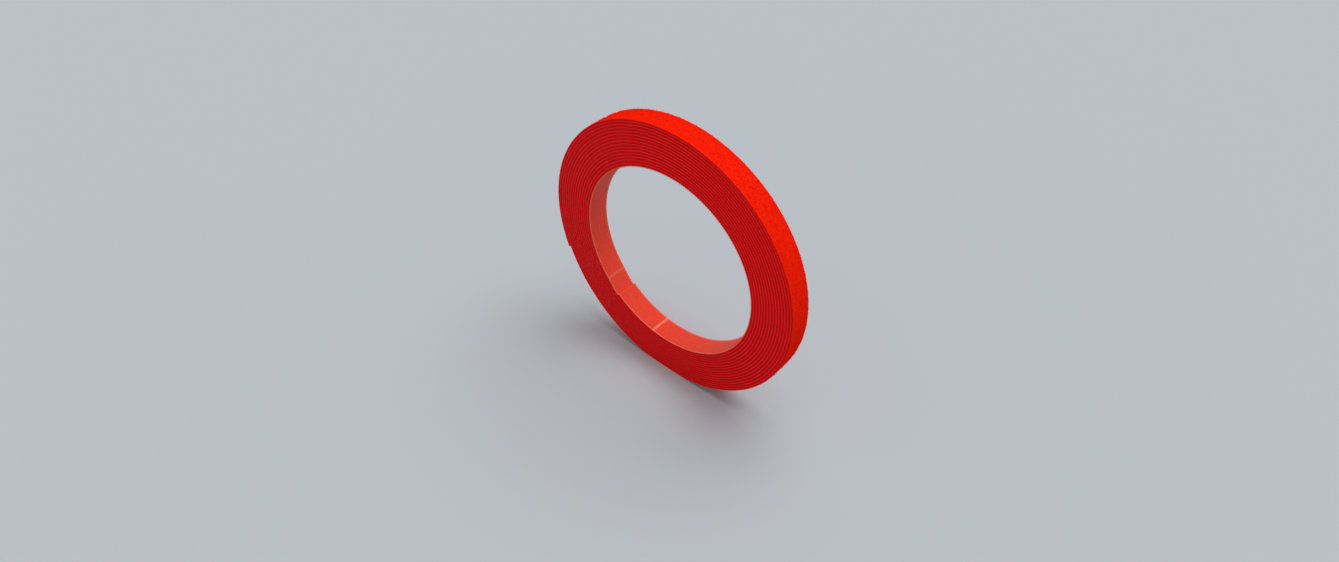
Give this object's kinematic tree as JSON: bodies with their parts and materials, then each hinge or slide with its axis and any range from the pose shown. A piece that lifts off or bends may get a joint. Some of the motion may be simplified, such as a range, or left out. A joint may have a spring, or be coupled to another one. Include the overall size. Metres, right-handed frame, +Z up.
{
  "type": "hook and loop tape roll",
  "caption": "Coreless roll of narrow back-to-back fastening tape, soft loop side out and hook side in, standing on its edge, with free ends that peel off the roll.",
  "frame": {"origin": "on the surface that the roll stands on, straight under the roll's axis, midway across the tape", "axes": "+Z up, Y along the roll's axis with the front side at -Y, X across the roll"},
  "size_m": [0.12, 0.01, 0.1189],
  "materials": {
    "hook_film": "moulded, satin, slightly milky",
    "loop_fabric": "brushed knit, matt"
  },
  "bodies": {
    "roll": {"hook_film_winding": "hook_film", "loop_fabric_winding": "loop_fabric"},
    "outer_end": {"hook_film_outer_end": "hook_film", "loop_fabric_outer_end": "loop_fabric"},
    "inner_end": {"hook_film_inner_end": "hook_film", "loop_fabric_inner_end": "loop_fabric"}
  },
  "joints": [
    {"name": "outer_end_peel", "type": "hinge", "parent": "roll", "child": "outer_end", "pos_m": [-0.0603, 0, 0.05912], "axis": [0, 1, 0], "range_deg": [0, 110]},
    {"name": "inner_end_peel", "type": "hinge", "parent": "roll", "child": "inner_end", "pos_m": [-0.00707, 0, 0.01789], "axis": [0, 1, 0], "range_deg": [0, 80]}
  ]
}
